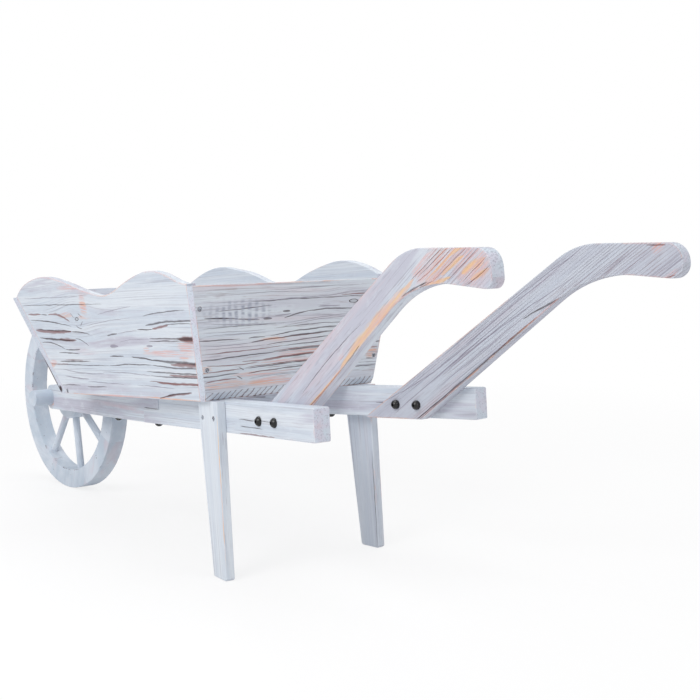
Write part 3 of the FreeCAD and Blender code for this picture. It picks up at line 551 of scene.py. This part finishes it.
def zinc_plate():
    """Dull zinc plate of screws, nuts and washers, with smears of whitewash."""
    material, tree, shader = new_material("dull zinc")
    place = tree.nodes.new("ShaderNodeTexCoord").outputs["Object"]
    grains = mottle(tree, place, (700.0, 700.0, 700.0), 3.0, 0.6)
    smears = mottle(tree, place, (240.0, 240.0, 240.0), 2.0, 0.6)
    smeared = fade(tree, smears, 0.46, 0.6)
    colour = stain(tree, grains, tone(150, 150, 158), tone(104, 104, 112))
    colour = stain(tree, calc(tree, "MULTIPLY", smeared, 0.8), colour, wash_blue)
    feed(tree, colour, shader.inputs["Base Color"])
    feed(tree, calc(tree, "MULTIPLY_ADD", smeared, -0.8, 0.85), shader.inputs["Metallic"])
    feed(tree, fade(tree, grains, 0.3, 0.7, 0.36, 0.58), shader.inputs["Roughness"])
    add_relief(tree, shader, grains, 0.25, 0.0004)
    return material


def finish_with(material, *names):
    """Gives one material to whole timbers or fasteners."""
    for name in names:
        slots = nodes[name].material_slots
        if not slots:
            nodes[name].data.materials.append(material)
        for slot in slots:
            slot.material = material


# Left side board: streaks as start, start height, end, end height, bow and width, from the
# middle of the box and its lower edge
left_side_dark = (
    (-238, 153.7, 41, 148.5, -0.4, 1.4), (-177, 135.6, -154, 135.2, 0.0, 1.4),
    (-221, 126.9, -76, 114.7, 1.9, 1.9), (-209, 111.5, -80, 106.7, -0.7, 2.1),
    (-80, 105.6, -19, 100.5, 1.2, 1.8), (-201, 96.4, -73, 90.6, -0.9, 3.4),
    (-71, 94.1, -29, 81.5, 2.7, 1.4), (-195, 87.5, -114, 75.7, 4.9, 1.9),
    (-114, 75.7, -62, 76.2, -1.0, 2.3), (-141, 70.2, -66, 68.4, 0.5, 1.6),
    (-143, 56.1, -35, 57.0, -0.9, 2.1), (-155, 50.7, 25, 49.8, -0.5, 1.3),
    (25, 49.8, 157, 52.1, 1.4, 1.6), (157, 52.1, 330, 50.0, -3.1, 2.3), (32, 64.9, 77, 64.8, 0.6, 2.0),
    (100, 64.3, 164, 59.5, 0.6, 2.6), (150, 60.3, 340, 57.4, -2.8, 3.6),
    (137, 41.6, 310, 38.0, 0.8, 2.1), (146, 35.5, 310, 34.4, -0.7, 1.8),
    (-160, 13.8, -87, 15.1, 1.4, 1.2), (-64, 13.9, 1, 15.1, -0.2, 1.1), (159, 1.5, 253, 12.3, 1.6, 2.0),
    (159, 127.3, 278, 133.4, 1.1, 1.6), (161, 112.3, 250, 117.6, 1.3, 3.2),
    (228, 116.7, 300, 116.7, 0.9, 2.6), (212, 111.7, 290, 112.2, 2.1, 1.2),
    (134, 106.3, 179, 106.3, -0.2, 1.8), (37, 97.9, 71, 100.9, 0.0, 2.2),
    (165, 92.9, 260, 91.1, 0.1, 1.6), (162, 88.7, 260, 87.9, 0.3, 1.6),
    (240, 91.5, 300, 91.0, 0.0, 5.0), (-70, 136, -61, 128, 0.0, 1.6), (-60, 132, -56, 118, 0.0, 1.4),
    (-45, 136, -34, 129, 0.0, 1.5), (-34, 122, -44, 114, 0.0, 1.4), (-60, 116, -40, 110, -2.0, 1.4),
)
left_side_faint = (
    (-229, 165.5, 2, 163.9, -1.3, 1.1), (-139, 42.0, 2, 36.4, -2.8, 1.4),
    (-2, 39.0, 146, 35.5, 1.5, 1.3), (-137, 30.2, -53, 26.7, -0.3, 2.3),
    (-26, 114.7, 121, 125.3, 1.1, 0.9), (71, 100.9, 134, 105.1, 0.8, 0.9),
    (72, 87.9, 165, 91.4, 1.6, 0.9), (40, 81, 66, 81, 0.0, 5.0), (152, 81, 170, 81, 0.0, 4.0),
    (100, 20, 210, 17, 0.5, 1.2), (20, 132, 130, 142, 1.0, 1.0), (-60, 22, 60, 20, 0.5, 1.3),
)
left_side_red = (
    (-227, 137.6, -177, 135.6, 0.0, 3.3), (-151, 135.6, -78, 122.2, 5.2, 4.0),
    (-210, 109.4, -80, 106.0, -1.7, 6.1), (-130, 92.6, -68, 91.0, 0.0, 5.0),
    (-181, 50.4, -115, 51.2, 0.0, 1.9), (210, 53.2, 340, 53.4, -0.4, 6.5),
    (200, 37.7, 330, 37.4, -1.2, 4.2), (139, 27.5, 220, 24.5, 0.0, 1.7),
    (160, 25.3, 330, 26.3, -1.7, 3.6), (179, 107.3, 225, 111.5, 0.2, 3.6),
    (246, 91.0, 310, 91.0, 0.0, 9.0), (159, 0.8, 253, 11.3, 1.6, 3.0),
    (-122, 58.0, -60, 58.0, 0.0, 1.4),
)
left_side_worn = (
    (205, 70, 60, 5.5), (262, 78, 24, 16), (-22, 148, 12, 22), (-24, 129, 22, 4), (-9, 172, 26, 9),
    (-90, 133, 28, 5), (80, 1.0, 215, 2.2), (-40, 178, 60, 7), (252, 64, 14, 4), (-178, 50, 16, 6),
    (-166, 54, 12, 4), (150, 76, 10, 5),
)

# Rear board: streaks from its middle and lower edge, along the board to the right hand
rear_dark = (
    (-86, 139.1, 139, 140.1, 1.0, 1.2), (-141, 128.0, -45, 133.6, -0.5, 1.3),
    (-163, 119.1, -105, 116.7, -0.1, 2.2), (-105, 115.7, -67, 113.1, -0.3, 1.7),
    (-61, 114.2, -45, 113.3, 0.0, 3.3), (-23, 113.7, 24, 121.8, 0.5, 1.7),
    (20, 121.4, 125, 121.0, 1.6, 1.9), (-165, 104.0, -36, 104.9, 1.2, 1.1),
    (-41, 98.6, 110, 100.6, 1.9, 1.1), (-175, 87.4, -101, 86.7, 0.1, 1.7),
    (-86, 86.9, -56, 86.7, 0.5, 1.7), (-47, 88.0, 100, 95.6, 2.3, 1.9),
    (-81, 80.4, -36, 84.1, 0.1, 1.5), (-36, 84.1, 90, 89.6, 0.3, 2.2), (-54, 74.9, 80, 81.6, 0.9, 1.6),
    (-23, 71.7, 75, 75.2, 0.0, 1.4), (-178, 58.7, -32, 64.0, -0.1, 1.9),
    (-35, 63.6, 70, 66.6, 0.6, 1.9), (-22, 54.2, 50, 58.2, -0.2, 1.6), (-85, 42.5, 40, 46.5, 0.7, 1.6),
    (-175, 34.2, -100, 37.1, 0.2, 1.8), (-85, 35.5, 40, 39.0, 1.0, 1.8),
    (140, 41.1, 156, 40.4, -0.1, 1.5), (150, 66.5, 175, 67.0, 0.1, 1.8), (40, 55, 130, 56, 0.5, 1.4),
    (60, 68, 150, 70, 0.5, 1.5), (50, 39, 120, 40, 0.5, 1.4), (-26, 123, -12, 123, 0, 2.5),
    (-72, 0.5, -50, 0.8, 0.0, 2.4), (-102, 46, -92, 41, 0.0, 1.6), (-104, 33, -94, 28, 0.0, 1.6),
    (110, 30, 160, 29, 0.3, 1.3), (120, 88, 176, 90, 0.4, 1.3), (118, 78, 174, 80, 0.4, 1.5),
)
rear_faint = (
    (-169, 141.9, 160, 150.7, -4.8, 1.0), (-166, 112.1, -8, 106.2, -1.8, 0.9),
    (-36, 104.9, 110, 115.2, 0.0, 0.9), (-165, 98.5, -55, 97.5, -0.5, 0.9),
    (-22, 101.3, 118, 109.8, 2.4, 0.9), (-165, 93.1, -54, 92.8, 1.0, 0.9),
    (-164, 79.5, -56, 81.6, -1.8, 1.2), (-164, 74.6, -54, 74.9, -0.4, 1.2),
    (-79, 28.9, 30, 29.8, 0.2, 1.1), (139, 35.0, 166, 34.3, -0.3, 0.9), (-60, 155, 120, 158, 0.5, 0.9),
    (-150, 150, 0, 153, 0.5, 0.8), (-40, 117, -10, 119, 0.0, 1.6), (40, 127, 84, 127, 0.0, 1.6),
)
rear_red = (
    (-166, 67.5, -21, 71.8, -0.7, 1.5), (-157, 51.8, -66, 50.4, -2.0, 1.6),
    (-96, 53.5, -20, 54.6, -1.0, 2.2), (-60, 54.2, 37, 58.6, -0.2, 2.2),
    (-163, 41.3, -95, 43.3, -0.5, 1.6), (-158, 27.2, -104, 29.6, 0.7, 2.0),
    (85, 143.1, 165, 144.4, -0.2, 1.8), (144, 58.1, 163, 58.5, 0.0, 1.5),
    (-40, 65.0, 60, 68.0, 0.6, 1.5), (-90, 44.0, 30, 47.8, 0.7, 1.2), (-170, 1.0, 160, 0.4, 0.6, 1.4),
    (-60, 82.6, 60, 87.4, 0.3, 1.4),
)
rear_worn = (
    (-121, 22, 42, 7), (-37, 21, 60, 7), (-60, 34, 60, 4), (20, 60, 60, 5), (-100, 165, 60, 2.5),
    (60, 168, 70, 3), (-40, 82, 30, 4), (150, 50, 14, 10), (60, 30, 60, 6), (-160, 45, 14, 6),
    (-10, 49, 60, 3),
)

# Handles: streaks from a point on the straight part, along it and up across it
left_handle_dark = (
    (25, -54.5, 95, -49.5, 0.0, 2.2), (203, -49.6, 254, -62.9, 0.9, 2.4),
    (-57, -29.8, 115, -29.3, 2.9, 1.0), (-110, -60.5, 20, -57.5, 0.0, 1.6),
)
left_handle_red = (
    (229, -44.0, 306, -48.5, 0.0, 0.9), (237, -52.4, 316, -58.0, -1.5, 0.9),
    (285, -82.0, 350, -83.2, -0.9, 1.0), (311, -105.5, 355, -109.4, -0.6, 1.3),
    (240, -48, 312, -53, -0.6, 0.7), (262, -68, 340, -72, 0.0, 0.8),
    (-110, -50.8, 80, -51.8, -1.5, 1.6), (200, -52.4, 262, -67.9, 1.2, 1.6),
    (306, -98, 356, -99, 0.0, 0.8),
)
left_handle_golden = (
    (-110, -49.5, 80, -50.5, -1.5, 2.4), (40, -51.0, 235, -46.5, 4.0, 12.0),
    (90, -46.5, 200, -42.5, 3.0, 6.0), (279, -71.3, 325, -76.4, 0.5, 6.0),
    (230, -58.8, 292, -82.3, -0.5, 5.0), (310, -90, 352, -98, 0.0, 9.0),
    (318, -104, 352, -112, 0.0, 7.0), (250, -60, 330, -63, 0.0, 3.0), (300, -62, 350, -70, 0.0, 4.0),
)
left_handle_worn = (
    (52, -39, 9, 3.5), (280, -60, 50, 16), (330, -90, 36, 26), (262, -45, 32, 10), (345, -84, 14, 30),
)
right_handle_dark = (
    (-115, -63.5, 150, -61.3, -0.5, 2.4), (129, -50.6, 272, -81.5, 3.1, 2.8),
    (230, -65.5, 293, -93.7, 3.8, 1.8), (-102, -69.3, 91, -68.5, 0.9, 1.4),
    (250, -22, 300, -24, 0.0, 1.2), (300, -45, 370, -47, 0.0, 1.0),
)
right_handle_faint = (
    (-164, -6.8, 89, -23.9, -10.0, 1.3), (-48, -4.3, 130, -14.7, -0.9, 1.3),
    (-134, -35.1, 135, -41.7, 3.8, 1.3), (-153, -34.2, 142, -32.8, 0.1, 1.3),
    (30, -25.9, 217, -29.2, 1.9, 1.3), (-24, -36.4, 232, -52.3, 4.9, 1.3),
    (129, -21.1, 249, -28.8, 2.0, 1.3), (-150, -22, 150, -24, -2.0, 1.0),
    (-60, -48, 180, -50, 1.0, 1.2),
)
right_handle_red = (
    (61, -62.5, 160, -62.4, 1.5, 2.2), (-115, -66.0, 60, -65.0, 0.5, 1.6),
    (340, -80, 362, -96, 0.0, 2.2), (312, -120, 352, -134, 0.0, 2.0),
)
right_handle_worn = (
    (352, -92, 12, 6), (-60, -66, 50, 2.5), (120, -63, 40, 2), (345, -130, 14, 4),
)

# Rails: streaks from the middle of the box and the middle of their height
rail_cracks = (
    (341, -1.5, 392, -1.5, 0.0, 1.2), (402, -1.0, 433, -1.5, 0.0, 0.8),
    (345, -10.5, 405, -12.0, 0.0, 1.2),
)
rail_red = (
    (341, -21, 437, -21, 0.0, 2.2),
)

# Boards of the box and its floor
across_barrow = barrow_direction(0, 1, 0)
finish_with(whitewashed("whitewashed left side board", barrow_point(0, -side_board_place, box_bottom),
                        barrow_direction(1, -side_taper, 0), barrow_direction(0, -side_splay, 1), seed=1.0,
                        knots=((-52, 126, 34, 17),), eyes=((-52, 126, 6, 3.5),), dark=left_side_dark,
                        faint=left_side_faint, red=left_side_red, worn=left_side_worn, grain=0.05,
                        rings=0.15, pitch=8.0, lilac=0.35, rose=0.15, wear=1.15, flecks=0.06),
            "side_board_left")
finish_with(whitewashed("whitewashed right side board", barrow_point(0, side_board_place, box_bottom),
                        barrow_direction(1, side_taper, 0), barrow_direction(0, side_splay, 1), seed=2.0,
                        grain=0.05, rings=0.1, lilac=0.1, rose=0.05, wear=0.5, flecks=0.06),
            "side_board_right")
finish_with(whitewashed("whitewashed rear board", barrow_point(rear_board_place, 0, box_bottom),
                        across_barrow, barrow_direction(rear_rake, 0, 1), seed=3.0,
                        knots=((110, 133, 18, 9),), eyes=((110, 133, 10, 3.2),), dark=rear_dark,
                        faint=rear_faint, red=rear_red, worn=rear_worn, grain=0.05, rings=0.45, pitch=5.0,
                        lilac=0.75, pale=0.5, rose=0.6, wear=0.75, bars=(-102, 125, 62, 21),
                        slashes=(1.0, 13.0, 10.6, 0.95)), "rear_board")
# Front board: the first end mark is a dark screw dot, the second a painted shadow line along the outer edge
# of its end
finish_with(whitewashed("whitewashed front board", barrow_point(front_board_place, 0, box_bottom),
                        across_barrow, barrow_direction(-front_rake, 0, 1), seed=4.0, grain=0.5, rings=0.5,
                        lilac=0.7, wear=0.5, thin_wash_and_shade=0.4,
                        end_marks=((4.0, 6.5, 6.5, 6.5), (0.5, 40.0, 2.6, 42.0))), "front_board")
for i in range(1, 6):
    middle = first_plank_middle + plank_pitch * (i - 1)
    finish_with(whitewashed("whitewashed floor plank %d" % i, barrow_point(middle, 0, box_bottom),
                            across_barrow, barrow_direction(1, 0, 0), seed=4.0 + i, grain=0.6, rings=0.6,
                            lilac=0.5),
                "floor_plank_%d" % i)

# Rails, legs and handles
rail_up = barrow_direction(0, 0, 1)
rail_looks = dict(grain=0.05, rings=0.12, wear=0.4, pitch=6.0, sway=0.004, flecks=0.1)
leg_run = barrow_direction(-math.sin(leg_lean), 0, math.cos(leg_lean))
handle_up = barrow_direction(-math.sin(handle_rise), 0, math.cos(handle_rise))
handle_marks = {
    "left": dict(dark=left_handle_dark, red=left_handle_red, golden=left_handle_golden,
                 worn=left_handle_worn, rings=0.15, lilac=0.8, rose=0.5, pitch=4.5, thin_wash_and_shade=0.25, sway=0.005,
                 ring_share=0.1, gilding=0.7, dense=((315, -80, 62, 60),)),
    "right": dict(dark=right_handle_dark, faint=right_handle_faint, red=right_handle_red,
                  worn=right_handle_worn, rings=0.7, lilac=0.7, rose=0.5, pitch=4.0, thin_wash_and_shade=0.65, flecks=0.2,
                  sway=0.002, ring_share=0.15, dense=((318, -88, 60, 60),)),
}
leg_marks = {
    "left": dict(golden=((12, 18.6, 234, 27.8, 0.0, 1.8),), pale=0.35),
    # Right leg: its bluish-grey thin-wash tone is painted shade from under the barrow
    "right": dict(dark=((5, 17.6, 150, 24.0, 0.0, 1.2),), thin_wash_and_shade=0.3),
}
for side, name, seed in ((-1, "left", 11.0), (1, "right", 12.0)):
    rail_run = barrow_direction(math.cos(rail_toe_in), side * math.sin(rail_toe_in), 0)
    rail_side = barrow_point(0, side * rail_place, 0)
    finish_with(whitewashed("whitewashed %s rear rail" % name, rail_side, rail_run, rail_up, seed=seed,
                            lilac=0.35, rose=0.15, dark=rail_cracks, red=rail_red, **rail_looks),
                "rail_rear_" + name)
    front_run = barrow_direction(math.cos(front_toe_in), side * math.sin(front_toe_in), 0)
    lap_side = barrow_point(lap_middle[0], side * lap_middle[1], 0)
    front_side = lap_side - front_run * (lap_to_box_middle / 1000)
    # Front rails: the dark streak along the lap seam is painted shade in the joint
    finish_with(whitewashed("whitewashed %s front rail" % name, front_side, front_run, rail_up,
                            seed=seed + 0.6, lilac=0.6, rose=0.3, worn=((-410, -12, 16, 8),),
                            dark=((35, 0.9, 89, 0.9, 0.0, 2.6),), **rail_looks), "rail_front_" + name)
    foot = Vector((foot_place[0], side * foot_place[1], 0.0))
    finish_with(whitewashed("whitewashed %s leg" % name, foot, leg_run, Vector((1, 0, 0)), seed=seed + 2,
                            grain=0.0, rings=0.0, lilac=0.05, rose=0.05, wear=0.5, sway=0.003, flecks=0.05,
                            **leg_marks[name]), "leg_" + name)
    handle_side = barrow_point(handle_place[0], side * handle_place[1], handle_place[2])
    handle_run = barrow_direction(math.cos(handle_rise) * math.cos(rail_toe_in),
                                  side * math.sin(rail_toe_in), math.sin(handle_rise))
    finish_with(whitewashed("whitewashed %s handle" % name, handle_side, handle_run, handle_up,
                            seed=seed + 4, grain=0.15, wear=0.7, **handle_marks[name]), "handle_" + name)

# Wheel: spokes along their own length, felloes along their chord, hub and axle across
along_axle = Vector((0, 1, 0))
for i in range(8):
    angle = first_spoke_turn + math.radians(45.0 * i)
    run = Vector((math.cos(angle), 0, math.sin(angle)))
    finish_with(brushed_paint("painted spoke %d" % (i + 1), axle_centre, run, along_axle, 20.0 + i),
                "spoke_%d" % (i + 1))
for i in range(4):
    angle = felloe_turn + math.radians(45.0 + 90.0 * i)
    run = Vector((-math.sin(angle), 0, math.cos(angle)))
    finish_with(brushed_paint("painted felloe %d" % (i + 1), axle_centre, run, along_axle, 30.0 + i),
                "felloe_%d" % (i + 1))
finish_with(brushed_paint("painted hub", axle_centre, Vector((1, 0, 0)), Vector((0, 0, 1)), 40.0), "hub")
finish_with(brushed_paint("painted axle", axle_centre, along_axle, Vector((0, 0, 1)), 41.0), "axle")

# Fasteners
finish_with(black_gloss(), "handle_bolts", "handle_cap_nuts", "rail_bolts")
finish_with(zinc_plate(), "rail_bolt_washers", "rail_bolt_nuts", "leg_screws", "rear_board_screws",
            "front_board_screws", "side_board_screws", "floor_screws")


# Camera, fitted to the photograph
camera_place = (1.63993, -1.14947, 0.51201)
camera_yaw = math.radians(49.77918)
camera_pitch = math.radians(-3.68755)
camera_roll = math.radians(-0.05677)
camera_lens = 65.4846
camera_shift = (-0.005718, -0.072397)

# Share of the floor's own glow near the barrow, and light of the white surroundings
floor_glow_share = 0.8
surround_level = 0.5


def add_camera():
    camera = bpy.data.objects.new("studio camera", bpy.data.cameras.new("studio camera"))
    bpy.context.scene.collection.objects.link(camera)
    level = math.cos(camera_pitch)
    ahead = Vector((-math.sin(camera_yaw) * level, math.cos(camera_yaw) * level, math.sin(camera_pitch)))
    level_right = Vector((math.cos(camera_yaw), math.sin(camera_yaw), 0))
    level_up = level_right.cross(ahead)
    right = level_right * math.cos(camera_roll) + level_up * math.sin(camera_roll)
    up = level_up * math.cos(camera_roll) - level_right * math.sin(camera_roll)
    turn = Matrix((right, up, -ahead)).transposed().to_4x4()
    camera.matrix_world = Matrix.Translation(camera_place) @ turn
    camera.data.sensor_width = 36.0
    camera.data.lens = camera_lens
    camera.data.shift_x, camera.data.shift_y = camera_shift
    camera.data.clip_start = 0.05
    camera.data.clip_end = 60.0
    bpy.context.scene.camera = camera


def seen_directly(tree):
    """1 for rays that the viewer, a reflection or a window sends."""
    path = tree.nodes.new("ShaderNodeLightPath").outputs
    bounced = calc(tree, "MAXIMUM", path["Is Glossy Ray"], path["Is Transmission Ray"])
    return calc(tree, "MAXIMUM", path["Is Camera Ray"], bounced)


def add_floor():
    """Pale floor that shows nearly white and keeps a soft shadow."""
    bpy.ops.object.select_all(action="DESELECT")
    bpy.ops.mesh.primitive_plane_add(size=24.0, location=(0, 0, 0))
    floor = bpy.context.object
    floor.name = "studio_floor"
    floor.data.transform(Matrix.Translation((0, 0, -0.0004)))
    material, tree, shader = new_material("studio floor")
    shader.inputs["Base Color"].default_value = (0.86, 0.86, 0.87, 1.0)
    shader.inputs["Roughness"].default_value = 0.9
    glow = tree.nodes.new("ShaderNodeEmission")
    glow.inputs["Color"].default_value = (1.0, 1.0, 1.0, 1.0)
    glow.inputs["Strength"].default_value = 1.0
    blend = tree.nodes.new("ShaderNodeMixShader")
    coordinates = tree.nodes.new("ShaderNodeTexCoord")
    distance = vector_calc(tree, "LENGTH", coordinates.outputs["Object"], (0.0, 0.0, 0.0), 1)
    glow_share = fade(tree, distance, 0.9, 2.2, floor_glow_share, 1.0)
    feed(tree, calc(tree, "MULTIPLY", seen_directly(tree), glow_share), blend.inputs[0])
    feed(tree, shader.outputs[0], blend.inputs[1])
    feed(tree, glow.outputs[0], blend.inputs[2])
    feed(tree, blend.outputs[0], tree.nodes["Material Output"].inputs["Surface"])
    floor.data.materials.append(material)


def add_lamp(name, place, target, size, power):
    lamp = bpy.data.lights.new(name, "AREA")
    lamp.shape = "DISK"
    lamp.size = size
    lamp.energy = power
    holder = bpy.data.objects.new(name, lamp)
    bpy.context.scene.collection.objects.link(holder)
    holder.location = place
    holder.rotation_mode = "QUATERNION"
    holder.rotation_quaternion = (Vector(target) - Vector(place)).to_track_quat("-Z", "Y")


def add_surroundings():
    """World that lights softly and shows white."""
    world = bpy.data.worlds.new("studio")
    bpy.context.scene.world = world
    world.use_nodes = True
    tree = world.node_tree
    backdrop = tree.nodes["Background"]
    backdrop.inputs["Color"].default_value = (1.0, 1.0, 1.0, 1.0)
    strength = calc(tree, "MULTIPLY_ADD", seen_directly(tree), 1.0 - surround_level, surround_level)
    feed(tree, strength, backdrop.inputs["Strength"])


add_camera()
add_floor()
add_lamp("key softbox", (0.6, -3.2, 2.6), (-0.1, 0.0, 0.25), 2.4, 78.0)
add_lamp("fill softbox", (3.4, 0.6, 1.8), (0.0, 0.0, 0.25), 2.4, 22.0)
add_lamp("top softbox", (-0.6, 0.4, 3.4), (0.0, 0.0, 0.2), 2.6, 45.0)
add_surroundings()
bpy.context.scene.view_settings.view_transform = "Standard"
